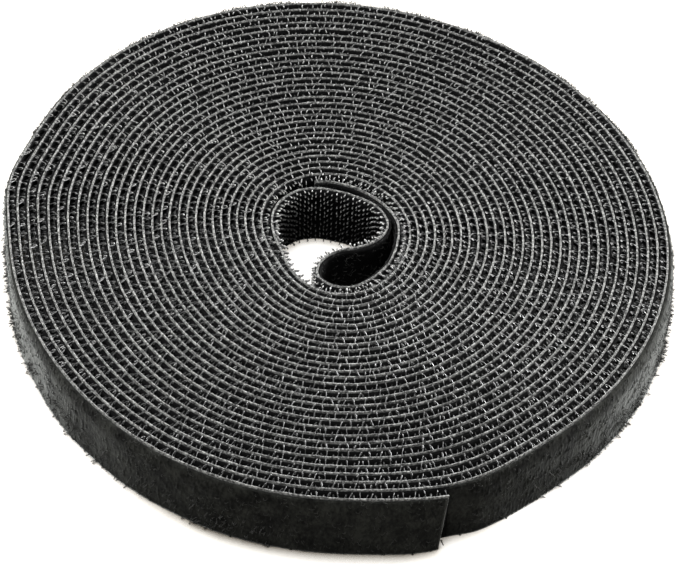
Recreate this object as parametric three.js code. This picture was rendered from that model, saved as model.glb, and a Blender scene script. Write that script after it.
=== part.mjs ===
// Roll of back-to-back hook and loop tape, lying flat on its edge.
// Two woven plies are bonded back to back and wound into a spiral without a core.
// The hook ply faces the middle of the roll, the loop ply faces outward.
// The inner end is folded back on itself, in a loop that stands in the hole.
// Millimetres, +Z up, the tape's lower edge on Z = 0.

import * as THREE from "three";

// Tape
const tapeWidth = 10;
const hookPlyThickness = 0.3;
const loopPlyThickness = 0.3;
const bondGap = 0.3;

// Winding
const pileRoom = 0.72;
const coreRadius = 10.9;
const turns = 22;
const stepsPerTurn = 22;
const outerEndAngle = THREE.MathUtils.degToRad(-69);
const innerTurnAngle = THREE.MathUtils.degToRad(-90);

// The roll isn't quite round: these are how far the winding leaves the circle.
// Outside it leans one way, and at the hole another; it is a little oval, and has three soft corners.
const outerLean = new THREE.Vector2(-0.05, 0.93);
const coreLean = new THREE.Vector2(-0.4, 0.5);
const outerOvalHeight = 0.44;
const coreOvalHeight = 0.88;
const ovalAngle = THREE.MathUtils.degToRad(105);
const cornerHeight = 0.39;
const cornerAngle = THREE.MathUtils.degToRad(21);

// The outer end springs away from the turn under it.
const endLift = 1.2;
const endLiftTurns = 0.025;

// The fold at the inner end, as shares of the core's radius, inward along the tape:
// round the hole, back along the loop's upper side, round its end, and out beside the first turn.
const foldShares = [
  [-0.5, -0.8],
  [-0.74, -0.37],
  [-0.87, 0],
  [-0.86, 0.44],
  [-0.61, 0.72],
  [-0.27, 0.8],
  [0.07, 0.73],
  [0.37, 0.6],
  [0.56, 0.35],
  [0.56, 0.13],
  [0.35, -0.11],
  [0.04, -0.24],
  [-0.19, -0.41],
  [-0.26, -0.63],
  [-0.1, -0.83],
  [0.16, -0.87],
  [0.45, -0.66],
  [0.68, -0.24],
  [0.74, 0.21],
  [0.62, 0.54],
  [0.34, 0.77],
  [-0.03, 0.9],
  [-0.41, 0.95],
];
const foldSteps = 64;

// Sizes that follow
const laminateThickness = hookPlyThickness + bondGap + loopPlyThickness;
const pitch = laminateThickness + pileRoom;
const spiralTurns = turns + (outerEndAngle - innerTurnAngle) / (2 * Math.PI);
const hookPlyInner = -laminateThickness / 2;
const hookPlyOuter = hookPlyInner + hookPlyThickness;
const loopPlyOuter = laminateThickness / 2;
const loopPlyInner = loopPlyOuter - loopPlyThickness;

// Middle of the laminate, a number of turns in from the outer end.
function spiralPoint(turnsIn) {
  const angle = outerEndAngle - turnsIn * 2 * Math.PI;
  const depthShare = turnsIn / spiralTurns;
  const around = new THREE.Vector2(Math.cos(angle), Math.sin(angle));
  const lean = outerLean.clone().lerp(coreLean, depthShare).dot(around);
  const ovalHeight = THREE.MathUtils.lerp(outerOvalHeight, coreOvalHeight, depthShare);
  const oval = ovalHeight * Math.cos(2 * (angle - ovalAngle));
  const corners = cornerHeight * Math.cos(3 * (angle - cornerAngle));
  const lift = endLift * Math.exp(-turnsIn / endLiftTurns);
  const radius = coreRadius + (spiralTurns - turnsIn) * pitch + lean + oval + corners + lift;
  return around.multiplyScalar(radius);
}

function spiralRoute() {
  const steps = Math.round(spiralTurns * stepsPerTurn);
  const turnsIn = Array.from({ length: steps + 1 }, (_, step) => (step / steps) * spiralTurns);
  return turnsIn.map(spiralPoint);
}

// The fold as a smooth curve, with its steps closer together where it bends more.
function foldRoute(spiralEnd, beforeSpiralEnd) {
  const corners = [beforeSpiralEnd, spiralEnd];
  for (const [xShare, yShare] of foldShares) {
    corners.push(new THREE.Vector2(xShare * coreRadius, yShare * coreRadius));
  }
  const points = corners.map((corner) => new THREE.Vector3(corner.x, corner.y, 0));
  const curve = new THREE.CatmullRomCurve3(points, false, "centripetal");
  const samplesPerStep = 20;
  const samples = curve.getSpacedPoints(foldSteps * samplesPerStep);
  const start = samples.findIndex((sample) => sample.distanceTo(points[1]) < pitch / 2) + 1;
  const straightStepLength = pitch * 2;
  const bendPerStep = THREE.MathUtils.degToRad(14);
  const effort = [0];
  for (let i = start + 1; i < samples.length; i += 1) {
    const before = samples[i - 1].clone().sub(samples[i - 2]);
    const after = samples[i].clone().sub(samples[i - 1]);
    const share = after.length() / straightStepLength + before.angleTo(after) / bendPerStep;
    effort.push(effort[effort.length - 1] + share);
  }
  const route = [];
  for (let step = 1; step <= foldSteps; step += 1) {
    const wanted = (effort[effort.length - 1] * step) / foldSteps;
    const index = effort.findIndex((value) => value >= wanted - Number.EPSILON * foldSteps);
    const sample = index < 0 ? samples[samples.length - 1] : samples[start + index];
    route.push(new THREE.Vector2(sample.x, sample.y));
  }
  return route;
}

// Left-hand normals, lengthened at each corner so that a ply keeps its thickness there.
function cornerNormals(route) {
  return route.map((point, i) => {
    const before = point.clone().sub(route[Math.max(i - 1, 0)]);
    const after = route[Math.min(i + 1, route.length - 1)].clone().sub(point);
    const back = (before.length() > 0 ? before : after).clone().normalize();
    const ahead = (after.length() > 0 ? after : before).clone().normalize();
    const normal = new THREE.Vector2(-back.y - ahead.y, back.x + ahead.x).normalize();
    const halfTurn = Math.acos(Math.min(back.dot(ahead), 1)) / 2;
    return normal.multiplyScalar(1 / Math.cos(halfTurn));
  });
}

// One wall of a ply, seen from above.
function offsetRoute(route, normals, offset) {
  return route.map((point, i) => point.clone().addScaledVector(normals[i], offset));
}

// A closed strip between two walls, standing on its edge.
function stripGeometry(nearWall, farWall) {
  const positions = [];
  nearWall.forEach((near, i) => {
    const far = farWall[i];
    positions.push(near.x, near.y, 0, far.x, far.y, 0);
    positions.push(far.x, far.y, tapeWidth, near.x, near.y, tapeWidth);
  });
  const sides = 4;
  const faces = [];
  for (let i = 0; i < nearWall.length - 1; i += 1) {
    for (let side = 0; side < sides; side += 1) {
      const a = i * sides + side;
      const b = i * sides + ((side + 1) % sides);
      faces.push(a, b, a + sides, b, b + sides, a + sides);
    }
  }
  const last = (nearWall.length - 1) * sides;
  faces.push(0, 2, 1, 0, 3, 2);
  faces.push(last, last + 1, last + 2, last, last + 2, last + 3);
  const geometry = new THREE.BufferGeometry();
  geometry.setAttribute("position", new THREE.Float32BufferAttribute(positions, 3));
  geometry.setIndex(faces);
  geometry.computeVertexNormals();
  return geometry;
}

function distanceToSegment(point, a, b) {
  const along = b.clone().sub(a);
  const share = THREE.MathUtils.clamp(point.clone().sub(a).dot(along) / along.lengthSq(), 0, 1);
  return point.distanceTo(a.clone().addScaledVector(along, share));
}

// Least gap between two walls of one strip, or of two, past the stretch beside each point.
function leastGap(wallA, wallB, skippedSteps) {
  let least = Infinity;
  wallA.forEach((point, i) => {
    for (let j = 0; j < wallB.length - 1; j += 1) {
      if (Math.abs(i - j) > skippedSteps) {
        least = Math.min(least, distanceToSegment(point, wallB[j], wallB[j + 1]));
      }
    }
  });
  return least;
}

function leastGapToItself(nearWall, farWall) {
  const skippedSteps = 6;
  const pairs = [[nearWall, farWall], [farWall, nearWall], [nearWall, nearWall], [farWall, farWall]];
  return Math.min(...pairs.map(([a, b]) => leastGap(a, b, skippedSteps)));
}

const spiral = spiralRoute();
const fold = foldRoute(spiral[spiral.length - 1], spiral[spiral.length - 2]);
const route = [...spiral, ...fold];
const normals = cornerNormals(route);

// Going inward the tape turns clockwise, so the middle of the roll is on its right.
const hookInnerWall = offsetRoute(route, normals, hookPlyInner);
const hookOuterWall = offsetRoute(route, normals, hookPlyOuter);
const loopInnerWall = offsetRoute(route, normals, loopPlyInner);
const loopOuterWall = offsetRoute(route, normals, loopPlyOuter);

const hookTape = new THREE.Mesh(
  stripGeometry(hookInnerWall, hookOuterWall),
  new THREE.MeshStandardMaterial({ color: 0x1b1b1d, roughness: 0.6, metalness: 0 }),
);
hookTape.name = "hook_tape";

const loopTape = new THREE.Mesh(
  stripGeometry(loopInnerWall, loopOuterWall),
  new THREE.MeshStandardMaterial({ color: 0x323532, roughness: 0.95, metalness: 0 }),
);
loopTape.name = "loop_tape";

console.log("hook_tape: least gap to itself, mm", leastGapToItself(hookInnerWall, hookOuterWall).toFixed(3));
console.log("loop_tape: least gap to itself, mm", leastGapToItself(loopInnerWall, loopOuterWall).toFixed(3));
console.log("hook_tape to loop_tape, mm", leastGap(hookOuterWall, loopInnerWall, -1).toFixed(3));

// The origin is under the middle of the roll's outline.
const tapeRoll = new THREE.Group();
tapeRoll.add(hookTape, loopTape);
const outline = new THREE.Box2().setFromPoints([...hookInnerWall, ...loopOuterWall]);
const middle = outline.getCenter(new THREE.Vector2());
tapeRoll.position.set(-middle.x, -middle.y, 0);

export default tapeRoll;
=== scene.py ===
import bpy
import numpy as np
from mathutils import Matrix, Vector


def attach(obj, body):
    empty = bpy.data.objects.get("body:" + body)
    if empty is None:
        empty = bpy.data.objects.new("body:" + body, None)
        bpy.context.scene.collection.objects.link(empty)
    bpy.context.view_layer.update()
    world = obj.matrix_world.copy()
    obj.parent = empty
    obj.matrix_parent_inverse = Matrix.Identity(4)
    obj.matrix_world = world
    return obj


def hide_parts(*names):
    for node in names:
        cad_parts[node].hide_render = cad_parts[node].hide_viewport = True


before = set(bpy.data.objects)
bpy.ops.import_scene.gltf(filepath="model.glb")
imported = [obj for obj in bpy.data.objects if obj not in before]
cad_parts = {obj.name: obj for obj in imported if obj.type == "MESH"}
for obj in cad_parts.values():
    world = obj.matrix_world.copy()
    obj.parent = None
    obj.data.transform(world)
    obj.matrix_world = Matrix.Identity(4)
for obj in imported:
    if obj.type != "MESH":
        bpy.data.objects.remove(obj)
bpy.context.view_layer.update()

# A coreless roll of narrow back-to-back hook and loop tape, lying flat on its edge.
# The hooks face the middle of the roll and the loop pile faces outward.
# Sizes are in millimetres, and become metres where they reach Blender.

MM = 0.001

# The tape: two woven plies, bonded back to back and slit to width.
TAPE_WIDTH = 10.0
PLY_THICKNESS = 0.125
BOND_FILM = 0.01
LAMINATE_HALF = PLY_THICKNESS + BOND_FILM / 2
EDGE_ROUNDING = 0.12

# Its slit edges: how far each stops inside the full width, and how high the lower cut reaches up the face.
UPPER_SLIT_MARGIN = 0.06
LOWER_SLIT_MARGIN = 0.05
LOWER_CUT_DEPTH = 0.3

# The winding: the radius falls by a pitch that eases towards the middle.
OUTER_RADIUS = 46.335
OUTER_PITCH = 1.3715
PITCH_EASING = 0.00446
OUTER_END_ANGLE = np.radians(-69)
INNER_TURN_ANGLE = np.radians(-90)
WHOLE_TURNS = 29
SPIRAL_TURNS = WHOLE_TURNS + (OUTER_END_ANGLE - INNER_TURN_ANGLE) / (2 * np.pi)
SPIRAL_SAMPLES = 60000
WINDING_CENTRE = np.array([0.4216, -0.1354])

# The roll isn't quite round. Each pair is a value outside and a value at the hole.
LEAN = (np.array([-0.049, 0.929]), np.array([-0.403, 0.497]))
OVAL_HEIGHT = (0.44, 0.88)
OVAL_ANGLE = np.radians((101, 109))
CORNER_HEIGHT = 0.39
CORNER_ANGLE = np.radians((13, 29))
FLAT_HEIGHT = 0.06
FLAT_ANGLE = np.radians(-4)

# Bulges of the outer turns: height, direction, half width, and the turns they fade over.
# One lifts the turns beside the tape's end, and one is a kink on the left.
BULGES = [
    (1.13, np.radians(-66), np.radians(12), 5),
    (0.85, np.radians(-186), np.radians(8), 6.5),
]

# The outer end springs away from the turn under it.
END_SPRING = 0.4
END_SPRING_TURNS = 0.04

# The coil leans a little: how far a turn's lower edge stands aside of its upper edge.
COIL_LEAN = np.array([0.4, -0.4])

# The outer end is cut a little slantwise: how far its upper corner stops short, how much more
# its lower corner does, and how far along the tape the slant fades.
CUT_BACK = 0.2
CUT_SLANT = 1.15
CUT_FADE = 3.0

# The folded inner end, from the winding's centre, inward along the tape:
# the last turn round the hole, the loop's upper side, its round end, and out past the last turn.
FOLD = [
    (-2.75, -10.3), (-5.0, -8.7), (-6.8, -6.3), (-7.8, -3.8), (-8.6, -2.1), (-9.3, 0.0),
    (-9.6, 2.6), (-9.1, 4.8), (-8.1, 6.4), (-6.6, 7.8), (-4.8, 8.5), (-3.0, 8.7), (-1.1, 8.4),
    (0.7, 8.05), (2.4, 7.4), (4.0, 6.7), (5.3, 5.5), (6.25, 3.8), (6.4, 2.6), (6.1, 1.4),
    (5.3, 0.1), (3.8, -1.2), (2.1, -2.1), (0.4, -2.6), (-0.9, -3.4), (-1.9, -4.3), (-2.6, -5.6),
    (-2.8, -7.0), (-2.3, -8.3), (-1.0, -9.2), (0.35, -9.55), (1.7, -9.5), (3.35, -8.7),
    (5.0, -7.1), (6.6, -4.95), (7.5, -2.5), (7.9, -0.1), (7.95, 2.3), (7.5, 4.2), (6.5, 5.7),
    (5.1, 7.25), (3.25, 8.5), (1.5, 9.4), (-0.3, 9.9), (-2.1, 10.2), (-4.2, 9.9),
]
FOLD_OVERLAP = 6.0
FOLD_SMOOTHING = 0.5

# Hooks: bent monofilament in columns across the tape, every other column half a step lower.
HOOK_COLUMN_STEP = 0.70
HOOK_ROW_STEP = 1.0
HOOK_HEIGHT = 0.83
HOOK_REACH = 0.46
HOOK_FILAMENT_RADIUS = 0.085
HOOK_MARGIN = 0.1
HOOK_TILT = 0.5

# Loop pile: pressed flat between the turns, free on the outside.
# Its fibres are drawn coarser than real ones, which would be too fine to show.
PRESSED_PILE = 0.36
FREE_PILE = 0.8
LEAST_PILE = 0.05
PILE_LOWER_EDGE = 0.05
PILE_UPPER_EDGE = TAPE_WIDTH - 0.38
PILE_TUFT_SHARE = 0.035
PAD_ROOT_DEPTH = 0.03
PILE_ROOT_DEPTH = 0.06
PILE_FIBRE_RADIUS = 0.026

# Patterns of the materials: spacings of threads and widths of patches.
WARP_SPACING = 0.31
WEFT_SPACING = 0.36
SLIT_FILAMENT_SPACING = 0.1
SLIT_PATCH = 0.33
HIGHLIGHT_PATCH = 1.6
PILE_RIB = 0.55
PILE_MATTING = 2.4
PILE_CLUMP = 2.6

# Settings that many nodes share
ADD = {"operation": "ADD"}
SUBTRACT = {"operation": "SUBTRACT"}
MULTIPLY = {"operation": "MULTIPLY"}
MULTIPLY_ADD = {"operation": "MULTIPLY_ADD"}
MODULO = {"operation": "MODULO"}
SCALE = {"operation": "SCALE"}
DISTANCE = {"operation": "DISTANCE"}
NUMBER = {"data_type": "FLOAT"}
COLOUR = {"data_type": "RGBA"}
VECTOR = {"data_type": "FLOAT_VECTOR"}


def linear(hex_colour):
    """An sRGB hex colour as linear RGBA."""
    srgb = np.array([int(hex_colour[i : i + 2], 16) for i in (1, 3, 5)]) / 255
    low = srgb / 12.92
    high = ((srgb + 0.055) / 1.055) ** 2.4
    return (*np.where(srgb <= 0.04045, low, high).tolist(), 1.0)


def add_node(tree, kind, settings=None, inputs=None):
    """A node with its settings. An input is a value, a socket, or a node that feeds it."""
    node = tree.nodes.new(kind)
    for name, value in (settings or {}).items():
        setattr(node, name, value)
    for name, value in (inputs or {}).items():
        socket = next(s for i, s in enumerate(node.inputs) if name == i or (name == s.name and s.enabled))
        if isinstance(value, bpy.types.Node):
            value = next(output for output in value.outputs if output.enabled)
        if isinstance(value, bpy.types.NodeSocket):
            tree.links.new(value, socket)
        else:
            socket.default_value = value
    return node


def mesh_object(name, points, edges=(), faces=()):
    """An object at the origin, with its place in its mesh."""
    mesh = bpy.data.meshes.new(name)
    mesh.from_pydata(points.reshape(-1, 3).tolist(), edges, faces)
    obj = bpy.data.objects.new(name, mesh)
    bpy.context.scene.collection.objects.link(obj)
    return obj


# Route of the tape


def wander(places, step, height, seed):
    """Smooth random drift: a new value about every step, joined by a cubic."""
    knots = np.arange(places.min() - 2 * step, places.max() + 3 * step, step)
    values = np.random.default_rng(seed).uniform(-height, height, len(knots))
    index = np.clip(np.searchsorted(knots, places) - 1, 0, len(knots) - 2)
    share = (places - knots[index]) / step
    ease = share * share * (3 - 2 * share)
    return values[index] * (1 - ease) + values[index + 1] * ease


def spiral_points():
    """The turns from the outer end to the hole, about the winding's centre."""
    turns_in = np.linspace(0, SPIRAL_TURNS, SPIRAL_SAMPLES)
    depth = turns_in / SPIRAL_TURNS
    angle = OUTER_END_ANGLE - turns_in * 2 * np.pi
    around = np.stack([np.cos(angle), np.sin(angle)], axis=1)

    def inward(pair):
        return pair[0] + (pair[1] - pair[0]) * depth

    radius = OUTER_RADIUS - OUTER_PITCH * turns_in + PITCH_EASING * turns_in**2
    radius += around @ LEAN[0] * (1 - depth) + around @ LEAN[1] * depth
    radius += inward(OVAL_HEIGHT) * np.cos(2 * (angle - inward(OVAL_ANGLE)))
    radius += CORNER_HEIGHT * np.cos(3 * (angle - inward(CORNER_ANGLE)))
    radius += FLAT_HEIGHT * np.cos(4 * (angle - FLAT_ANGLE))
    for height, direction, half_width, fade in BULGES:
        away = np.angle(np.exp(1j * (angle - direction)))
        radius += height * np.exp(-((away / half_width) ** 2) - (turns_in / fade) ** 2)
    radius += END_SPRING * np.exp(-turns_in / END_SPRING_TURNS)
    radius += wander(turns_in, step=0.21, height=0.07, seed=3) * np.minimum(turns_in, 1)
    return around * radius[:, None]


def rounded_path(corners, per_step=24):
    """A smooth curve through the corners, which keeps its bends round however far apart they lie."""
    ends = [2 * corners[0] - corners[1], *corners, 2 * corners[-1] - corners[-2]]
    points = []
    for a, b, c, d in zip(ends, ends[1:], ends[2:], ends[3:]):
        t1 = np.linalg.norm(b - a) ** 0.5
        t2 = t1 + np.linalg.norm(c - b) ** 0.5
        t3 = t2 + np.linalg.norm(d - c) ** 0.5
        for t in np.linspace(t1, t2, per_step, endpoint=False):
            ab = a + (b - a) * t / t1
            bc = b + (c - b) * (t - t1) / (t2 - t1)
            cd = c + (d - c) * (t - t2) / (t3 - t2)
            abc = ab + (bc - ab) * t / t2
            bcd = bc + (cd - bc) * (t - t1) / (t3 - t1)
            points.append(abc + (bcd - abc) * (t - t1) / (t2 - t1))
    points.append(corners[-1])
    return np.array(points)


def distances_along(points):
    """How far along the path each point lies."""
    return np.concatenate([[0], np.cumsum(np.linalg.norm(np.diff(points, axis=0), axis=1))])


def evenly(points, step):
    """The path with its points a step apart."""
    along = distances_along(points)
    wanted = np.linspace(0, along[-1], int(along[-1] / step) + 1)
    return np.stack([np.interp(wanted, along, points[:, axis]) for axis in (0, 1)], axis=1)


def softened(points, step, spread):
    """The path with its small wobbles averaged out over the spread; its ends stay."""
    reach = int(4 * spread / step)
    weights = np.exp(-0.5 * (np.arange(-reach, reach + 1) * step / spread) ** 2)
    weights /= weights.sum()
    head = 2 * points[0] - points[reach:0:-1]
    tail = 2 * points[-1] - points[-2 : -reach - 2 : -1]
    padded = np.concatenate([head, points, tail])
    return np.stack([np.convolve(padded[:, axis], weights, "valid") for axis in (0, 1)], axis=1)


class Route:
    """The middle of the laminate, from the tape's outer end to its inner end."""

    step = 0.05

    def __init__(self):
        turns = spiral_points()
        first_turn = turns[: int(SPIRAL_SAMPLES / SPIRAL_TURNS)]
        spiral = evenly(turns, self.step)
        overlap = int(FOLD_OVERLAP / self.step)
        corners = [spiral[-overlap], spiral[-overlap // 2], spiral[-1], *map(np.array, FOLD)]
        fold = softened(evenly(rounded_path(corners), self.step), self.step, FOLD_SMOOTHING)
        self.points = evenly(np.concatenate([spiral[:-overlap], fold]), self.step)
        self.along = distances_along(self.points)
        self.length = self.along[-1]
        self.fold_start = distances_along(spiral)[-1]
        self.first_turn_end = float(distances_along(first_turn)[-1])
        tangents = np.gradient(self.points, axis=0)
        self.tangents = tangents / np.linalg.norm(tangents, axis=1)[:, None]

    def place(self, along, offset, height):
        """Points in metres: the offset is outward, away from the hooks."""
        inside = np.clip(along, 0, self.length)
        x, y = (np.interp(inside, self.along, self.points[:, axis]) for axis in (0, 1))
        tx, ty = (np.interp(inside, self.along, self.tangents[:, axis]) for axis in (0, 1))
        past = along - inside
        below = 1 - np.asarray(height) / TAPE_WIDTH
        x = x + tx * past - ty * offset + WINDING_CENTRE[0] + COIL_LEAN[0] * below
        y = y + ty * past + tx * offset + WINDING_CENTRE[1] + COIL_LEAN[1] * below
        return np.stack(np.broadcast_arrays(x, y, height), axis=-1) * MM


route = Route()


def stations(start, end, step):
    """Places along the tape, about a step apart, with both ends."""
    return np.linspace(start, end, max(2, int(round((end - start) / step)) + 1))


def from_cut(along, height):
    """How far along the tape a point lies, once the outer end is cut slantwise."""
    below = 1 - np.clip(height, 0, TAPE_WIDTH) / TAPE_WIDTH
    cut = CUT_BACK + CUT_SLANT * below**0.65
    return along + cut * np.clip(1 - along / CUT_FADE, 0, 1)


def strip_object(name, along, offsets, heights, material, slit_edge=None):
    """A closed strip that follows the route: one ring of offsets and heights at each station."""
    count, sides = offsets.shape
    points = route.place(from_cut(along[:, None], heights), offsets, heights)
    base = (np.arange(count - 1) * sides)[:, None]
    side = np.arange(sides)[None, :]
    ahead = (side + 1) % sides
    faces = np.stack([base + side, base + ahead, base + ahead + sides, base + side + sides], axis=-1)
    faces = faces.reshape(-1, 4)[:, ::-1].tolist()
    faces.append(list(range(sides)))
    faces.append([(count - 1) * sides + i for i in reversed(range(sides))])
    obj = mesh_object(name, points, faces=faces)
    mesh = obj.data
    mesh.polygons.foreach_set("use_smooth", [True] * len(faces))
    tape_place = np.stack(np.broadcast_arrays(along[:, None], offsets, heights), axis=-1) * MM
    attribute = mesh.attributes.new("tape_place", "FLOAT_VECTOR", "POINT")
    attribute.data.foreach_set("vector", tape_place.reshape(-1).astype(np.float32))
    if slit_edge is not None:
        slit_edge = np.broadcast_to(slit_edge, offsets.shape)
        attribute = mesh.attributes.new("slit_edge", "FLOAT", "POINT")
        attribute.data.foreach_set("value", slit_edge.reshape(-1).astype(np.float32))
    mesh.materials.append(material)
    mesh.validate()
    mesh.update()
    return obj


# Materials


def empty_material(name):
    material = bpy.data.materials.new(name)
    material.use_nodes = True
    material.node_tree.nodes.clear()
    return material, material.node_tree


def woven_nylon():
    """Black multifilament nylon, plain woven and bonded: a dull black face with a fine weave.

    Where it is slit, the cut ends of the filaments scatter light, so the edge is a broken pale grey.
    The face is greyer just below the upper edge and black further down: partly the fuzz of the cut
    filaments, partly painted shade where the turns shade each other lower down. The filaments' spacing
    is drawn coarser than the real one, which would be too fine to show.
    """
    material, tree = empty_material("woven_nylon_ground")
    place = add_node(tree, "ShaderNodeAttribute", {"attribute_name": "tape_place"})
    slit = add_node(tree, "ShaderNodeAttribute", {"attribute_name": "slit_edge"})
    apart = add_node(tree, "ShaderNodeSeparateXYZ", inputs={"Vector": place.outputs["Vector"]})
    waves = []
    for axis, spacing in [("X", WARP_SPACING), ("Z", WEFT_SPACING), ("Y", SLIT_FILAMENT_SPACING)]:
        phase = add_node(tree, "ShaderNodeMath", MULTIPLY, {
            0: apart.outputs[axis], 1: 2 * np.pi / (spacing * MM)})
        waves.append(add_node(tree, "ShaderNodeMath", {"operation": "SINE"}, {0: phase}))
    warp, weft, filaments = waves
    weave = add_node(tree, "ShaderNodeMath", MULTIPLY, {0: warp, 1: weft})
    relief = add_node(tree, "ShaderNodeMix", NUMBER, {
        "Factor": slit.outputs["Fac"], "A": weave, "B": filaments})
    bump = add_node(tree, "ShaderNodeBump", inputs={
        "Height": relief, "Strength": 0.8, "Distance": 0.03 * MM})

    coordinates = add_node(tree, "ShaderNodeTexCoord")
    patches = add_node(tree, "ShaderNodeTexNoise", inputs={
        "Vector": coordinates.outputs["Object"], "Scale": 1 / (SLIT_PATCH * MM), "Detail": 2.0})
    lightness = add_node(tree, "ShaderNodeMapRange", inputs={
        "Value": patches, "From Min": 0.4, "From Max": 0.66})
    edge = add_node(tree, "ShaderNodeMix", COLOUR, {
        "Factor": lightness, "A": linear("#5c5c5b"), "B": linear("#bebebb")})
    # Painted shade: the face is greyer near the upper edge and black further down between the turns; the grey
    # is partly fuzz.
    fuzz_and_depth_shade = add_node(tree, "ShaderNodeMapRange", inputs={
        "Value": apart.outputs["Z"], "From Min": 8.0 * MM, "From Max": 9.3 * MM})
    face = add_node(tree, "ShaderNodeMix", COLOUR, {
        "Factor": fuzz_and_depth_shade, "A": linear("#0a0a0b"), "B": linear("#303031")})
    colour = add_node(tree, "ShaderNodeMix", COLOUR, {
        "Factor": slit.outputs["Fac"], "A": face, "B": edge})
    nylon = add_node(tree, "ShaderNodeBsdfPrincipled", inputs={
        "Base Color": colour, "Normal": bump,
        "Roughness": 0.62, "IOR": 1.53, "Specular IOR Level": 0.06})
    add_node(tree, "ShaderNodeOutputMaterial", inputs={"Surface": nylon})
    return material


def hook_monofilament():
    """Extruded nylon monofilament, heat-set and cut: smooth and glossy, so each bend catches a light.

    Each bend is painted pale grey, a painted highlight that varies in random patches. It fades as
    painted shade deeper down the tape and towards the front, where the coat's gloss is lower too, and
    it is palest in the hole. The roots, the tips and what stands deep stay black.
    """
    material, tree = empty_material("hook_monofilament_nylon")
    coordinates = add_node(tree, "ShaderNodeTexCoord")
    apart = add_node(tree, "ShaderNodeSeparateXYZ", inputs={"Vector": coordinates.outputs["Object"]})
    patches = add_node(tree, "ShaderNodeTexNoise", inputs={
        "Vector": coordinates.outputs["Object"], "Scale": 1 / (HIGHLIGHT_PATCH * MM), "Detail": 1.0})
    lightness = add_node(tree, "ShaderNodeMapRange", inputs={
        "Value": patches, "From Min": 0.3, "From Max": 0.7, "To Min": 0.6, "To Max": 1.0})

    # Painted highlight: each hook's bend is pale grey, its root and tip black.
    share = add_node(tree, "ShaderNodeAttribute", {"attribute_name": "filament_share"})
    crown = add_node(tree, "ShaderNodeMapRange", inputs={
        "Value": share.outputs["Fac"], "From Min": 0.2, "From Max": 0.5})
    before_tip = add_node(tree, "ShaderNodeMapRange", inputs={
        "Value": share.outputs["Fac"], "From Min": 0.7, "From Max": 0.95, "To Min": 1.0, "To Max": 0.1})
    bend = add_node(tree, "ShaderNodeMath", MULTIPLY, {0: crown, 1: before_tip})

    # Painted shade: the painted highlight fades deeper down the tape and towards the front.
    near_top = add_node(tree, "ShaderNodeMapRange", inputs={
        "Value": apart.outputs["Z"], "From Min": 4.0 * MM, "From Max": 9.4 * MM,
        "To Min": 0.15, "To Max": 1.0})
    near_back = add_node(tree, "ShaderNodeMapRange", inputs={
        "Value": apart.outputs["Y"], "From Min": -40.0 * MM, "From Max": -12.0 * MM,
        "To Min": 0.3, "To Max": 1.0})
    lit_share = add_node(tree, "ShaderNodeMath", MULTIPLY, {0: near_top, 1: near_back})
    highlight_patches = add_node(tree, "ShaderNodeMath", MULTIPLY, {0: bend, 1: lightness})
    painted_highlight = add_node(tree, "ShaderNodeMath", MULTIPLY, {0: highlight_patches, 1: lit_share})

    # The painted highlight is palest in the hole.
    from_hole = add_node(tree, "ShaderNodeVectorMath", DISTANCE, {
        0: coordinates.outputs["Object"], 1: (-1.0 * MM, 0.5 * MM, 0.5 * TAPE_WIDTH * MM)})
    in_hole = add_node(tree, "ShaderNodeMapRange", inputs={
        "Value": from_hole, "From Min": 10.5 * MM, "From Max": 13.0 * MM, "To Min": 1.0, "To Max": 0.0})
    highlight_colour = add_node(tree, "ShaderNodeMix", COLOUR, {
        "Factor": in_hole, "A": linear("#a4a4a2"), "B": linear("#efefec")})
    colour = add_node(tree, "ShaderNodeMix", COLOUR, {
        "Factor": painted_highlight, "A": linear("#151515"), "B": highlight_colour})
    # The coat's gloss is also lower towards the front, to dim the highlights there.
    gloss = add_node(tree, "ShaderNodeMath", MULTIPLY, {0: near_back, 1: 0.75})
    nylon = add_node(tree, "ShaderNodeBsdfPrincipled", inputs={
        "Base Color": colour, "Coat Weight": gloss,
        "Roughness": 0.28, "IOR": 1.53, "Specular IOR Level": 0.8, "Coat Roughness": 0.2})
    add_node(tree, "ShaderNodeOutputMaterial", inputs={"Surface": nylon})
    return material


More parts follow.
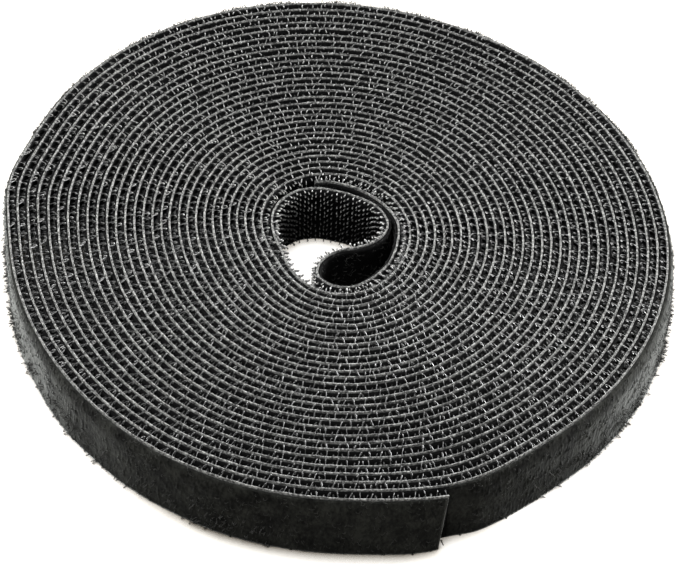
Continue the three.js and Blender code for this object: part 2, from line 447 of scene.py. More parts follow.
def brushed_pile(name, dark, light, sheen):
    """Fine nylon loops, brushed and matted: dark face on, with a grey bloom at grazing angles."""
    material, tree = empty_material(name)
    place = add_node(tree, "ShaderNodeAttribute", {"attribute_name": "tape_place"})
    apart = add_node(tree, "ShaderNodeSeparateXYZ", inputs={"Vector": place.outputs["Vector"]})
    stretch = add_node(tree, "ShaderNodeVectorMath", MULTIPLY, {
        0: place.outputs["Vector"], 1: (1.5, 1.0, 0.9)})
    ribs = add_node(tree, "ShaderNodeTexNoise", inputs={
        "Vector": stretch, "Scale": 1 / (PILE_RIB * MM), "Detail": 3.0, "Roughness": 0.6})
    matting = add_node(tree, "ShaderNodeTexNoise", inputs={
        "Vector": place.outputs["Vector"], "Scale": 1 / (PILE_MATTING * MM), "Detail": 3.0})
    both = add_node(tree, "ShaderNodeMath", MULTIPLY, {0: ribs, 1: matting})
    lightness = add_node(tree, "ShaderNodeMapRange", inputs={
        "Value": both, "From Min": 0.15, "From Max": 0.38})
    face = add_node(tree, "ShaderNodeMix", COLOUR, {
        "Factor": lightness, "A": linear(dark), "B": linear(light)})
    cut_end = add_node(tree, "ShaderNodeMapRange", inputs={
        "Value": apart.outputs["X"], "From Min": 0.1 * MM, "From Max": 0.5 * MM,
        "To Min": 0.8, "To Max": 0.0})
    colour = add_node(tree, "ShaderNodeMix", COLOUR, {
        "Factor": cut_end, "A": face, "B": linear("#4c4c4a")})
    bump = add_node(tree, "ShaderNodeBump", inputs={
        "Height": both, "Strength": 0.7, "Distance": 0.12 * MM})
    nylon = add_node(tree, "ShaderNodeBsdfPrincipled", inputs={
        "Base Color": colour, "Normal": bump, "Roughness": 0.9, "Specular IOR Level": 0.15,
        "Sheen Weight": sheen, "Sheen Roughness": 0.28, "Sheen Tint": linear("#e8ebe8")})
    add_node(tree, "ShaderNodeOutputMaterial", inputs={"Surface": nylon})
    return material


WOVEN_GROUND = woven_nylon()
MONOFILAMENT = hook_monofilament()

# Between the turns the pile is a darker copy of the outer wall's pile, near black and without its
# bloom: painted shade where the turns shade each other. Free on the outer wall it has a strong grey bloom.
# The single fibres that stand off it are painted darker than the wall's pile too, a painted shade that
# keeps their lit tops from showing, and they have a faint bloom.
PRESSED_SHADED_FACE = brushed_pile("pressed_loop_pile_nylon_painted_shade", "#040404", "#0b0b0c", 0.0)
FREE_FACE = brushed_pile("brushed_loop_pile_nylon", "#090908", "#333430", 0.95)
LOOP_FIBRE = brushed_pile("loop_fibre_nylon", "#070707", "#0f0f0e", 0.1)


# The two plies


def tape_lift(along):
    """How far a turn stands above or below its neighbours."""
    return wander(along, step=34.0, height=0.06, seed=11)


def ply(name, near, far, frayed_depth, seed):
    """One ply between two offsets, with slit edges that wander, fray and are rounded."""
    along = np.concatenate([
        stations(0, route.fold_start, step=0.6)[:-1],
        stations(route.fold_start, route.length, step=0.22),
    ])
    count = len(along)
    rough = np.random.default_rng(seed)
    lift = tape_lift(along)
    top = TAPE_WIDTH - UPPER_SLIT_MARGIN + lift + wander(along, step=1.3, height=0.035, seed=seed + 1)
    top = top + rough.uniform(-0.02, 0.02, count)
    bottom = LOWER_SLIT_MARGIN + 0.4 * lift + wander(along, step=1.3, height=0.02, seed=seed + 2)
    bottom = np.maximum(0.0, bottom)
    fray = wander(along, step=0.9, height=0.03, seed=seed + 3) + rough.uniform(-0.012, 0.012, count)
    rounding = EDGE_ROUNDING
    bevel = 0.3 * EDGE_ROUNDING
    outward = 1 if far > near else -1

    # Offset, height, and how much of a slit edge it is, from the lower edge up.
    rings = [
        (near, bottom, 1.0),
        (far - outward * rounding, bottom, 1.0),
        (far, bottom + rounding, 1.0),
        (far, bottom + LOWER_CUT_DEPTH, 0.0),
        (far, top - frayed_depth - 0.1, 0.0),
        (far, top - frayed_depth, 0.8),
        (far + outward * fray, top - rounding, 1.0),
        (far + outward * (fray - bevel), top - bevel, 1.0),
        (far + outward * (fray - rounding), top, 1.0),
        (near, top, 1.0),
    ]
    offsets = np.stack([np.broadcast_to(offset, count) for offset, _, _ in rings], axis=1)
    heights = np.stack([np.broadcast_to(height, count) for _, height, _ in rings], axis=1)
    slit_edge = np.array([[share for _, _, share in rings]])
    # The hook ply lies on the other side, so its rings run the other way round to face outwards.
    if outward < 0:
        offsets, heights, slit_edge = offsets[:, ::-1], heights[:, ::-1], slit_edge[:, ::-1]
    return strip_object(name, along, offsets, heights, WOVEN_GROUND, slit_edge)


hook_ply = ply("hook_ply", near=-BOND_FILM / 2, far=-LAMINATE_HALF, frayed_depth=0.2, seed=21)
loop_ply = ply("loop_ply", near=BOND_FILM / 2, far=LAMINATE_HALF, frayed_depth=0.3, seed=31)


# Loop pile


def pile(name, start, end, step, levels, depth_of, material, roughness, tuft, seed):
    """A matted pad of loops on the outside of the loop ply, ribbed across the tape."""
    along = stations(start, end, step)
    lift = tape_lift(along)[:, None]
    share = np.linspace(0, 1, levels)[None, :]
    heights = PILE_LOWER_EDGE + (PILE_UPPER_EDGE - PILE_LOWER_EDGE) * share + lift * share
    rough = np.random.default_rng(seed)
    ribs = rough.normal(0, 0.4 * roughness, (len(along), levels + 3))
    ribs = sum(ribs[:, i : i + levels] for i in range(4)) / 2
    grain = rough.normal(0, roughness, (len(along), levels))
    tufts = rough.uniform(3, 9, grain.shape) * tuft * (rough.random(grain.shape) < PILE_TUFT_SHARE)
    depth = depth_of(along[:, None], heights) + ribs + grain + tufts
    face = LAMINATE_HALF + np.maximum(depth, LEAST_PILE)
    root = np.full((len(along), 1), LAMINATE_HALF - PAD_ROOT_DEPTH)
    tuck = 0.04
    offsets = np.concatenate([root, face, root], axis=1)
    heights = np.concatenate([heights[:, :1] + tuck, heights, heights[:, -1:] - tuck], axis=1)
    return strip_object(name, along, offsets, heights, material)


def pressed_depth(along, height):
    """Between turns the pad is flat, and round at its upper edge."""
    upper_rounding = 0.5
    below_top = np.clip((TAPE_WIDTH - height) / upper_rounding, 0, 1)
    depth = PRESSED_PILE * (0.35 + 0.65 * np.sin(0.5 * np.pi * below_top))
    return depth + 0 * along


def wall_depth(along, height):
    """Outside it swells freely, most near the floor, and least beside the slit edge on top.

    It is thinner on the left and at the tape's end, and pressed flat where the first turn ends.
    """
    upper_rounding = 2.6
    left_place = 0.31
    left_width = 0.13
    left_thinning = 0.35
    end_reach = 5.0
    pressed_reach = 3.0
    still_outside = np.clip((route.first_turn_end - 1.0 - along) / pressed_reach, 0, 1)
    below_top = np.clip((TAPE_WIDTH - height) / upper_rounding, 0, 1)
    free = FREE_PILE * (0.3 + 0.7 * np.sin(0.5 * np.pi * below_top) ** 1.2)
    left = np.exp(-(((along / route.first_turn_end - left_place) / left_width) ** 2))
    free = free * (1 - left_thinning * left) + wander(along, step=5.0, height=0.07, seed=17)
    free = free * (0.45 + 0.55 * np.clip(along / end_reach, 0, 1))
    return PRESSED_PILE * (1 - still_outside) + free * still_outside


pile_wall = pile(
    "loop_pile_outer_wall", 0.0, route.first_turn_end, step=0.14, levels=30,
    depth_of=wall_depth, material=FREE_FACE, roughness=0.015, tuft=0.03, seed=41)
pile_turns = pile(
    "loop_pile_between_turns", route.first_turn_end, route.fold_start, step=0.5, levels=7,
    depth_of=pressed_depth, material=PRESSED_SHADED_FACE, roughness=0.02, tuft=0.02, seed=42)
pile_end = pile(
    "loop_pile_inner_end", route.fold_start, route.length, step=0.25, levels=20,
    depth_of=pressed_depth, material=PRESSED_SHADED_FACE, roughness=0.015, tuft=0.015, seed=43)


# Node trees that repeat one bent filament


def new_tree(name, inputs):
    """A tree from mesh to mesh with named inputs, and the sockets that give them."""
    tree = bpy.data.node_groups.new(name, "GeometryNodeTree")
    tree.interface.new_socket(name="Geometry", in_out="INPUT", socket_type="NodeSocketGeometry")
    tree.interface.new_socket(name="Geometry", in_out="OUTPUT", socket_type="NodeSocketGeometry")
    for input_name, value in inputs.items():
        kind = "NodeSocketInt" if isinstance(value, int) else "NodeSocketFloat"
        socket = tree.interface.new_socket(name=input_name, in_out="INPUT", socket_type=kind)
        socket.default_value = value
    return tree, add_node(tree, "NodeGroupInput").outputs


def three_sided(tree, curve, radius):
    """A filament along a curve, so thin that the eye can't tell its three sides from a round one."""
    section = add_node(tree, "GeometryNodeCurvePrimitiveCircle", {"mode": "RADIUS"}, {
        "Resolution": 3, "Radius": radius})
    return add_node(tree, "GeometryNodeCurveToMesh", inputs={
        "Curve": curve, "Profile Curve": section, "Fill Caps": True})


def plant(tree, points, filament, turn, size, material):
    """Sets a filament on each point. Whatever would reach below the floor lies on it instead."""
    field = add_node(tree, "GeometryNodeInstanceOnPoints", inputs={
        "Points": points, "Instance": filament, "Rotation": turn, "Scale": size})
    real = add_node(tree, "GeometryNodeRealizeInstances", inputs={"Geometry": field})
    smooth = add_node(tree, "GeometryNodeSetShadeSmooth", inputs={"Geometry": real})
    place = add_node(tree, "GeometryNodeInputPosition")
    apart = add_node(tree, "ShaderNodeSeparateXYZ", inputs={"Vector": place})
    height = add_node(tree, "ShaderNodeMath", {"operation": "MAXIMUM"}, {
        0: apart.outputs["Z"], 1: 0.01 * MM})
    lifted = add_node(tree, "ShaderNodeCombineXYZ", inputs={
        "X": apart.outputs["X"], "Y": apart.outputs["Y"], "Z": height})
    laid = add_node(tree, "GeometryNodeSetPosition", inputs={"Geometry": smooth, "Position": lifted})
    dressed = add_node(tree, "GeometryNodeSetMaterial", inputs={"Geometry": laid, "Material": material})
    add_node(tree, "NodeGroupOutput", inputs={"Geometry": dressed})


def plain_mesh(obj, tree, values):
    """Runs a node tree on the object and keeps the result as its plain mesh."""
    modifier = obj.modifiers.new(tree.name, "NODES")
    modifier.node_group = tree
    identifiers = {
        item.name: item.identifier for item in tree.interface.items_tree if item.in_out == "INPUT"
    }
    for name, value in values.items():
        modifier[identifiers[name]] = value
    depsgraph = bpy.context.evaluated_depsgraph_get()
    result = bpy.data.meshes.new_from_object(obj.evaluated_get(depsgraph))
    before = obj.data
    obj.modifiers.clear()
    obj.data = result
    result.name = obj.name
    bpy.data.meshes.remove(before)
    for name in [a.name for a in result.attributes if a.name in ("column", "onward")]:
        result.attributes.remove(result.attributes[name])
    return obj


# Hooks


def hook_places(tree, given):
    """Points for the hooks, in rows counted down from the tape's upper edge, and each one's pair.

    Columns stand in twos: the pair is 0 for two columns that lean onward, and 1 for two that lean back.
    """
    line = add_node(tree, "GeometryNodeMeshToCurve", inputs={"Mesh": given["Geometry"]})
    columns = add_node(tree, "GeometryNodeCurveToPoints", {"mode": "LENGTH"}, {
        "Curve": line, "Length": given["Column Step"]})
    index = add_node(tree, "GeometryNodeInputIndex")
    numbered = add_node(tree, "GeometryNodeStoreNamedAttribute", {"data_type": "INT", "domain": "POINT"}, {
        "Geometry": columns, "Name": "column", "Value": index})
    aimed = add_node(tree, "GeometryNodeStoreNamedAttribute", {**VECTOR, "domain": "POINT"}, {
        "Geometry": numbered, "Name": "onward", "Value": columns.outputs["Tangent"]})
    amount = add_node(tree, "ShaderNodeMath", ADD, {0: given["Rows From Top"], 1: given["Rows From Bottom"]})
    rows = add_node(tree, "GeometryNodeDuplicateElements", {"domain": "POINT"}, {
        "Geometry": aimed, "Amount": amount})
    number = rows.outputs["Duplicate Index"]

    last_row = add_node(tree, "ShaderNodeMath", SUBTRACT, {0: given["Rows Across"], 1: 1.0})
    past_top = add_node(tree, "ShaderNodeMath", SUBTRACT, {0: number, 1: given["Rows From Top"]})
    from_bottom = add_node(tree, "ShaderNodeMath", SUBTRACT, {0: last_row, 1: past_top})
    in_top = add_node(tree, "ShaderNodeMath", {"operation": "LESS_THAN"}, {
        0: number, 1: given["Rows From Top"]})
    row = add_node(tree, "ShaderNodeMix", NUMBER, {"Factor": in_top, "A": from_bottom, "B": number})
    column = add_node(tree, "GeometryNodeInputNamedAttribute", {"data_type": "INT"}, {"Name": "column"})
    odd = add_node(tree, "ShaderNodeMath", MODULO, {0: column, 1: 2.0})
    lowered = add_node(tree, "ShaderNodeMath", MULTIPLY_ADD, {0: odd, 1: 0.5, 2: row})
    of_four = add_node(tree, "ShaderNodeMath", MODULO, {0: column, 1: 4.0})
    of_two = add_node(tree, "ShaderNodeMath", MULTIPLY, {0: of_four, 1: 0.5})
    pair = add_node(tree, "ShaderNodeMath", {"operation": "FLOOR"}, {0: of_two})

    drift_place = add_node(tree, "ShaderNodeMath", MULTIPLY_ADD, {0: column, 1: 0.011, 2: given["Seed"]})
    drift = add_node(tree, "ShaderNodeTexNoise", {"noise_dimensions": "1D"}, {
        "W": drift_place, "Scale": 1.0, "Detail": 0.0})
    slit = add_node(tree, "ShaderNodeMath", MULTIPLY, {0: drift, 1: given["Slit Drift"]})
    top_row = add_node(tree, "ShaderNodeMath", SUBTRACT, {0: given["Top Row Height"], 1: slit})
    below_top = add_node(tree, "ShaderNodeMath", MULTIPLY, {0: lowered, 1: given["Row Step"]})
    height = add_node(tree, "ShaderNodeMath", SUBTRACT, {0: top_row, 1: below_top})
    lift = add_node(tree, "ShaderNodeVectorMath", SCALE, {
        0: (-COIL_LEAN[0] / TAPE_WIDTH, -COIL_LEAN[1] / TAPE_WIDTH, 1.0), "Scale": height})
    scatter = add_node(tree, "FunctionNodeRandomValue", VECTOR, {
        "Min": (-0.03 * MM, -0.03 * MM, -0.05 * MM), "Max": (0.03 * MM, 0.03 * MM, 0.05 * MM),
        "Seed": given["Seed"]})
    moved = add_node(tree, "ShaderNodeVectorMath", ADD, {0: lift, 1: scatter})
    placed = add_node(tree, "GeometryNodeSetPosition", inputs={"Geometry": rows, "Offset": moved})
    return placed, pair


def hook_turn(tree, given, pair):
    """How a hook stands: off the ply and tilted up, leaning along the tape, its bend mostly down."""
    lean_seed = add_node(tree, "ShaderNodeMath", ADD, {0: given["Seed"], 1: 9.0})
    flip_seed = add_node(tree, "ShaderNodeMath", ADD, {0: given["Seed"], 1: 5.0})
    twist_seed = add_node(tree, "ShaderNodeMath", ADD, {0: given["Seed"], 1: 7.0})
    onward = add_node(tree, "GeometryNodeInputNamedAttribute", VECTOR, {"Name": "onward"})
    inward = add_node(tree, "ShaderNodeVectorMath", {"operation": "CROSS_PRODUCT"}, {
        0: onward, 1: (0.0, 0.0, 1.0)})
    tilt = add_node(tree, "ShaderNodeCombineXYZ", inputs={"Z": given["Tilt"]})
    tilted = add_node(tree, "ShaderNodeVectorMath", ADD, {0: inward, 1: tilt})
    lean_back = add_node(tree, "ShaderNodeMath", MULTIPLY, {0: given["Lean Back"], 1: -1.0})
    swing = add_node(tree, "ShaderNodeMath", SUBTRACT, {0: lean_back, 1: given["Lean Onward"]})
    lean_share = add_node(tree, "ShaderNodeMath", MULTIPLY_ADD, {
        0: pair, 1: swing, 2: given["Lean Onward"]})
    pair_lean = add_node(tree, "ShaderNodeVectorMath", SCALE, {0: onward, "Scale": lean_share})
    leaning = add_node(tree, "ShaderNodeVectorMath", ADD, {0: tilted, 1: pair_lean})
    own_lean = add_node(tree, "FunctionNodeRandomValue", VECTOR, {
        "Min": (-0.09, -0.09, -0.1), "Max": (0.09, 0.09, 0.1), "Seed": lean_seed})
    rise_way = add_node(tree, "ShaderNodeVectorMath", ADD, {0: leaning, 1: own_lean})

    # About one hook in eight bends up.
    flip = add_node(tree, "FunctionNodeRandomValue", NUMBER, {"Min": 0.0, "Max": 1.0, "Seed": flip_seed})
    bends_up = add_node(tree, "ShaderNodeMath", {"operation": "GREATER_THAN"}, {0: flip, 1: 0.88})
    sign = add_node(tree, "ShaderNodeMath", MULTIPLY_ADD, {0: bends_up, 1: 2.0, 2: -1.0})
    bend_way = add_node(tree, "ShaderNodeCombineXYZ", inputs={"Z": sign})
    twist = add_node(tree, "FunctionNodeRandomValue", NUMBER, {"Min": -0.3, "Max": 0.3, "Seed": twist_seed})
    aside = add_node(tree, "ShaderNodeVectorMath", SCALE, {0: onward, "Scale": twist})
    reach_way = add_node(tree, "ShaderNodeVectorMath", ADD, {0: aside, 1: bend_way})
    return add_node(tree, "FunctionNodeAxesToRotation", {"primary_axis": "Z", "secondary_axis": "X"}, {
        "Primary Axis": rise_way, "Secondary Axis": reach_way})


def hook_filament(tree, given):
    """One hook: it rises from the ply, bends over and ends cut off half way down."""
    corners = {"Start": add_node(tree, "ShaderNodeCombineXYZ", inputs={"Z": -0.5 * PLY_THICKNESS * MM})}
    for corner, reach_share, height_share in [
        ("Start Handle", -0.12, 1.22),
        ("End Handle", 1.25, 1.34),
        ("End", 1.0, 0.5),
    ]:
        reach = add_node(tree, "ShaderNodeMath", MULTIPLY, {0: given["Hook Reach"], 1: reach_share})
        height = add_node(tree, "ShaderNodeMath", MULTIPLY, {0: given["Hook Height"], 1: height_share})
        corners[corner] = add_node(tree, "ShaderNodeCombineXYZ", inputs={"X": reach, "Z": height})
    bend = add_node(tree, "GeometryNodeCurvePrimitiveBezierSegment", {"mode": "POSITION"}, {
        "Resolution": 5, **corners})
    share = add_node(tree, "GeometryNodeSplineParameter")
    shared = add_node(tree, "GeometryNodeStoreNamedAttribute", {**NUMBER, "domain": "POINT"}, {
        "Geometry": bend, "Name": "filament_share", "Value": share})
    return three_sided(tree, shared, given["Filament Radius"])


def hook_tree():
    """Rows of hooks along a line on the face of the hook ply."""
    tree, given = new_tree("hook_rows", {
        "Column Step": HOOK_COLUMN_STEP * MM,
        "Row Step": HOOK_ROW_STEP * MM,
        "Top Row Height": (TAPE_WIDTH - HOOK_MARGIN) * MM,
        "Rows From Top": 3,
        "Rows From Bottom": 1,
        "Rows Across": 11,
        "Hook Height": HOOK_HEIGHT * MM,
        "Hook Reach": HOOK_REACH * MM,
        "Filament Radius": HOOK_FILAMENT_RADIUS * MM,
        "Tilt": HOOK_TILT,
        "Lean Back": 0.34,
        "Lean Onward": 0.1,
        "Slit Drift": 0.2 * MM,
        "Seed": 1,
    })
    places, pair = hook_places(tree, given)
    turn = hook_turn(tree, given, pair)
    filament = hook_filament(tree, given)
    size_seed = add_node(tree, "ShaderNodeMath", ADD, {0: given["Seed"], 1: 13.0})
    size = add_node(tree, "FunctionNodeRandomValue", VECTOR, {
        "Min": (0.75, 0.9, 0.9), "Max": (1.15, 1.1, 1.08), "Seed": size_seed})
    plant(tree, places, filament, turn, size, MONOFILAMENT)
    return tree


def hook_line(name, start, end):
    """The line that the hooks grow from, on the face of the hook ply."""
    points = route.place(stations(start, end, step=0.3), offset=-LAMINATE_HALF, height=0.0)
    return mesh_object(name, points, edges=[(i, i + 1) for i in range(len(points) - 1)])


# The middle rows are left out between the turns, where nothing shows them.
# The inner end stands in the hole and has all its rows, of smaller hooks.
HOOK_ROWS = hook_tree()
HOOK_STRETCHES = 6
HOOK_END_MARGIN = 0.5
INNER_FIELD = 36.0
field_end = route.fold_start - INNER_FIELD
hook_pieces = []
for number in range(HOOK_STRETCHES):
    start = field_end * number / HOOK_STRETCHES + HOOK_END_MARGIN
    end = field_end * (number + 1) / HOOK_STRETCHES
    line = hook_line(f"hooks_stretch_{number + 1}", start, end)
    hook_pieces.append(plain_mesh(line, HOOK_ROWS, {"Seed": number + 1}))
line = hook_line("hooks_inner_end", field_end + 0.2, route.length - 0.3)
hook_pieces.append(plain_mesh(line, HOOK_ROWS, {
    "Rows From Top": 11,
    "Rows From Bottom": 0,
    "Column Step": 0.6 * MM,
    "Row Step": 0.9 * MM,
    "Hook Height": 0.66 * MM,
    "Hook Reach": 0.25 * MM,
    "Filament Radius": 0.095 * MM,
    "Lean Back": 0.16,
    "Lean Onward": 0.06,
    "Seed": 60,
}))


# Loose loops of the pile


def loop_tree():
    """Single loops on a face, in clumps, each turned and leaning its own way."""
    tree, given = new_tree("pile_loops", {
        "Loops Per Square Metre": 2.2e6,
        "Loop Width": 0.42 * MM,
        "Loop Height": 0.36 * MM,
        "Fibre Radius": PILE_FIBRE_RADIUS * MM,
        "Seed": 1,
    })
    clumps = add_node(tree, "ShaderNodeTexNoise", inputs={"Scale": 1 / (PILE_CLUMP * MM), "Detail": 1.0})
    thinning = add_node(tree, "ShaderNodeMapRange", inputs={
        "Value": clumps, "From Min": 0.42, "From Max": 0.6, "To Min": 0.1, "To Max": 1.7})
    density = add_node(tree, "ShaderNodeMath", MULTIPLY, {0: given["Loops Per Square Metre"], 1: thinning})
    roots = add_node(tree, "GeometryNodeDistributePointsOnFaces", {"distribute_method": "RANDOM"}, {
        "Mesh": given["Geometry"], "Density": density, "Seed": given["Seed"]})

    half = add_node(tree, "ShaderNodeMath", MULTIPLY, {0: given["Loop Width"], 1: 0.5})
    rise = add_node(tree, "ShaderNodeMath", MULTIPLY, {0: given["Loop Height"], 1: 1.35})
    corners = {}
    for corner, half_share, height in [
        ("Start", -1.0, -PILE_ROOT_DEPTH * MM),
        ("Start Handle", -1.5, rise),
        ("End Handle", 1.5, rise),
        ("End", 1.0, -PILE_ROOT_DEPTH * MM),
    ]:
        aside = add_node(tree, "ShaderNodeMath", MULTIPLY, {0: half, 1: half_share})
        corners[corner] = add_node(tree, "ShaderNodeCombineXYZ", inputs={"X": aside, "Z": height})
    bend = add_node(tree, "GeometryNodeCurvePrimitiveBezierSegment", {"mode": "POSITION"}, {
        "Resolution": 5, **corners})
    loop = three_sided(tree, bend, given["Fibre Radius"])

    lean_seed = add_node(tree, "ShaderNodeMath", ADD, {0: given["Seed"], 1: 3.0})
    lean = add_node(tree, "FunctionNodeRandomValue", VECTOR, {
        "Min": (-0.5, -0.5, -3.1416), "Max": (0.5, 0.5, 3.1416), "Seed": lean_seed})
    turn = add_node(tree, "FunctionNodeRotateRotation", {"rotation_space": "LOCAL"}, {
        "Rotation": roots.outputs["Rotation"], "Rotate By": lean})
    size_seed = add_node(tree, "ShaderNodeMath", ADD, {0: given["Seed"], 1: 4.0})
    size = add_node(tree, "FunctionNodeRandomValue", VECTOR, {
        "Min": (0.6, 0.6, 0.4), "Max": (1.6, 1.6, 1.25), "Seed": size_seed})
    plant(tree, roots, loop, turn, size, LOOP_FIBRE)
    return tree


PILE_LOOPS = loop_tree()


def loose_loops(name, start, end, depth_of, sunk, low, high, values):
    """Loops that grow from an open face, a little under the face of the pile."""
    along = stations(start, end, step=0.6)[:, None]
    heights = np.linspace(low, high, num=12)[None, :]
    offset = depth_of(along, heights) - sunk + LAMINATE_HALF
    points = route.place(from_cut(along, heights), offset, heights)
    levels = heights.size
    faces = [
        (i * levels + j, i * levels + j + 1, (i + 1) * levels + j + 1, (i + 1) * levels + j)
        for i in range(along.size - 1)
        for j in range(levels - 1)
    ]
    return plain_mesh(mesh_object(name, points, faces=faces), PILE_LOOPS, values)


wall_loops = loose_loops(
    "loop_fluff_outer_wall", 0.1, route.first_turn_end - 2.0,
    depth_of=wall_depth, sunk=0.04, low=0.5, high=TAPE_WIDTH - 0.15,
    values={"Seed": 71, "Loops Per Square Metre": 1.0e6, "Loop Height": 0.32 * MM})
end_loops = loose_loops(
    "loop_fluff_inner_end", route.fold_start, route.length,
    depth_of=pressed_depth, sunk=0.04, low=0.3, high=TAPE_WIDTH - 0.2,
    values={"Seed": 72, "Loops Per Square Metre": 1.8e6, "Loop Height": 0.2 * MM})

# Longer loops stand out where the outer wall is seen edge on, at shares of the first turn:
# low down on the left and the right, and along the upper edge at the back.
LOW_STRAY = {
    "Loops Per Square Metre": 1.5e6, "Loop Height": 0.78 * MM, "Loop Width": 0.16 * MM,
    "Fibre Radius": 0.04 * MM,
}
EDGE_STRAY = {
    "Loops Per Square Metre": 9.0e6, "Loop Height": 0.34 * MM, "Loop Width": 0.3 * MM,
    "Fibre Radius": 0.04 * MM,
}
stray_loops = [
    loose_loops(
        name, first * route.first_turn_end, last * route.first_turn_end,
        depth_of=wall_depth, sunk=0.1, low=low, high=high, values={**kind, "Seed": seed})
    for name, first, last, low, high, kind, seed in [
        ("stray_loops_left_wall", 0.08, 0.36, 0.15, 4.0, LOW_STRAY, 73),
        ("stray_loops_right_wall", 0.74, 0.96, 0.15, 4.0, LOW_STRAY, 74),
        ("stray_loops_back_wall", 0.36, 0.74, 8.6, 9.9, EDGE_STRAY, 75),
    ]
]


# Where the pieces ride; the model's tape parts that they replace are hidden

pile_pieces = [pile_wall, pile_turns, pile_end, wall_loops, end_loops, *stray_loops]
for piece in [hook_ply, loop_ply, *hook_pieces, *pile_pieces]:
    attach(piece, "root")
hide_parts("hook_tape")
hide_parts("loop_tape")


# Floor, light and camera


def white_sweep():
    """Matt white paper sweep: it shows white, with a soft warm shade close round the roll and in its hole."""
    material, tree = empty_material("white_sweep")
    light_path = add_node(tree, "ShaderNodeLightPath")
    seen = light_path.outputs["Is Camera Ray"]
    near = add_node(tree, "ShaderNodeAmbientOcclusion", {"samples": 6}, {"Distance": 2.2 * MM})
    wide = add_node(tree, "ShaderNodeAmbientOcclusion", {"samples": 6}, {"Distance": 5.0 * MM})
    coordinates = add_node(tree, "ShaderNodeTexCoord")
    apart = add_node(tree, "ShaderNodeSeparateXYZ", inputs={"Vector": coordinates.outputs["Object"]})

    # How open the floor is: round the roll, beside it, under the gaps between turns, and in the hole.
    soft_shadow = add_node(tree, "ShaderNodeMapRange", inputs={
        "Value": near.outputs["AO"], "From Min": 0.46, "From Max": 0.9, "To Max": 0.95})
    gap_shadow = add_node(tree, "ShaderNodeMapRange", inputs={
        "Value": wide.outputs["AO"], "From Min": 0.28, "From Max": 0.42})
    from_middle = add_node(tree, "ShaderNodeMath", {"operation": "ABSOLUTE"}, {0: apart.outputs["X"]})
    beside = add_node(tree, "ShaderNodeMapRange", inputs={
        "Value": from_middle, "From Min": 12 * MM, "From Max": 27 * MM})
    outer_share = add_node(tree, "ShaderNodeMix", NUMBER, {"Factor": beside, "A": soft_shadow, "B": 0.95})
    round_share = add_node(tree, "ShaderNodeMath", MULTIPLY, {0: outer_share, 1: gap_shadow})
    from_hole = add_node(tree, "ShaderNodeVectorMath", DISTANCE, {
        0: coordinates.outputs["Object"], 1: (-1.5 * MM, 1.0 * MM, 0.0)})
    in_hole = add_node(tree, "ShaderNodeMapRange", inputs={
        "Value": from_hole, "From Min": 9.5 * MM, "From Max": 10.5 * MM, "To Min": 1.0, "To Max": 0.0})
    hole_share = add_node(tree, "ShaderNodeMapRange", inputs={
        "Value": near.outputs["AO"], "From Min": 0.2, "From Max": 0.75, "To Min": 0.4, "To Max": 0.95})
    open_share = add_node(tree, "ShaderNodeMix", NUMBER, {
        "Factor": in_hole, "A": round_share, "B": hole_share})

    shaded = add_node(tree, "ShaderNodeMix", COLOUR, {
        "Factor": open_share, "A": linear("#40382e"), "B": linear("#aaa59b")})
    tone = add_node(tree, "ShaderNodeMix", COLOUR, {
        "Factor": seen, "A": linear("#94918b"), "B": shaded})
    paper = add_node(tree, "ShaderNodeBsdfDiffuse", inputs={"Color": tone})
    warmth = add_node(tree, "ShaderNodeMix", COLOUR, {
        "Factor": open_share, "A": linear("#e8dac2"), "B": linear("#ffffff")})
    strength = add_node(tree, "ShaderNodeMath", MULTIPLY, {0: seen, 1: open_share})
    white = add_node(tree, "ShaderNodeEmission", inputs={"Color": warmth, "Strength": strength})
    both = add_node(tree, "ShaderNodeAddShader", inputs={0: paper, 1: white})
    add_node(tree, "ShaderNodeOutputMaterial", inputs={"Surface": both})
    return material


def floor():
    """The sweep, flat under the roll and far out past what the camera sees. In metres."""
    half = 3.0
    corners = np.array([(-half, -half, 0.0), (half, -half, 0.0), (half, half, 0.0), (-half, half, 0.0)])
    obj = mesh_object("floor", corners, faces=[(0, 1, 2, 3)])
    obj.data.materials.append(white_sweep())


def softbox(name, place, size, power):
    """A wide soft lamp that faces the roll. Its place and size are in metres, its power in watts."""
    lamp = bpy.data.lights.new(name, "AREA")
    lamp.shape = "RECTANGLE"
    lamp.size, lamp.size_y = size
    lamp.energy = power
    obj = bpy.data.objects.new(name, lamp)
    obj.location = place
    obj.rotation_euler = Vector(place).to_track_quat("Z", "Y").to_euler()
    bpy.context.scene.collection.objects.link(obj)


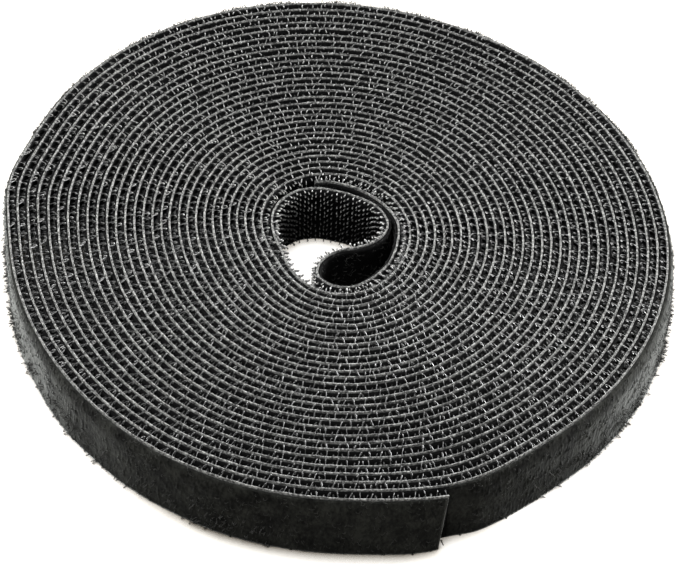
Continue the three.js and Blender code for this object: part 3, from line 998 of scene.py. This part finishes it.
def white_room():
    """A plain white surrounding, that lights the roll far less than it shows."""
    backdrop = bpy.data.worlds.new("white_room")
    backdrop.use_nodes = True
    tree = backdrop.node_tree
    tree.nodes.clear()
    light_path = add_node(tree, "ShaderNodeLightPath")
    strength = add_node(tree, "ShaderNodeMapRange", inputs={
        "Value": light_path.outputs["Is Camera Ray"], "To Min": 0.14, "To Max": 1.0})
    light = add_node(tree, "ShaderNodeBackground", inputs={"Color": (1, 1, 1, 1), "Strength": strength})
    add_node(tree, "ShaderNodeOutputWorld", inputs={"Surface": light})
    bpy.context.scene.world = backdrop


def camera():
    """Looks down at the roll from the front; its place and turn give the photograph's view.

    The anchor is a point on the roll's upper face, in millimetres, that shows at the anchor pixel.
    """
    elevation = np.radians(46.40)
    roll = np.radians(-4.94)
    anchor = Vector((-0.634, 0.700, 10.0))
    anchor_pixel = (333.2, 229.5)
    distance = 443.2
    focal_pixels = 3226.0
    frame_width = 679
    frame_height = 564

    back = Vector((0, -np.cos(elevation), np.sin(elevation)))
    level = Vector((1, 0, 0))
    steep = Vector((0, np.sin(elevation), np.cos(elevation)))
    right = level * np.cos(roll) - steep * np.sin(roll)
    up = level * np.sin(roll) + steep * np.cos(roll)
    aside = (frame_width / 2 - anchor_pixel[0]) / focal_pixels
    above = (anchor_pixel[1] - frame_height / 2) / focal_pixels
    back_aimed = (back - right * aside - up * above).normalized()
    right_aimed = (right - back_aimed * right.dot(back_aimed)).normalized()
    up_aimed = back_aimed.cross(right_aimed)

    lens = bpy.data.cameras.new("photo_view")
    lens.sensor_width = 36
    lens.lens = focal_pixels * lens.sensor_width / frame_width
    lens.clip_start = 0.01
    lens.clip_end = 20
    obj = bpy.data.objects.new("photo_view", lens)
    turn = Matrix((right_aimed, up_aimed, back_aimed)).transposed().to_4x4()
    obj.matrix_world = Matrix.Translation((anchor + back * distance) * MM) @ turn
    bpy.context.scene.collection.objects.link(obj)
    bpy.context.scene.camera = obj


camera()
floor()
white_room()
softbox("back_softbox", place=(0.0, 1.0, 0.78), size=(0.8, 0.5), power=4.0)
softbox("overhead_softbox", place=(-0.2, -0.22, 1.1), size=(0.5, 0.5), power=7.2)
softbox("left_softbox", place=(-0.9, 0.58, 0.42), size=(0.95, 0.6), power=25.0)
softbox("right_softbox", place=(0.9, 0.76, 0.42), size=(0.6, 0.6), power=33.0)
bpy.context.scene.view_settings.view_transform = "Standard"
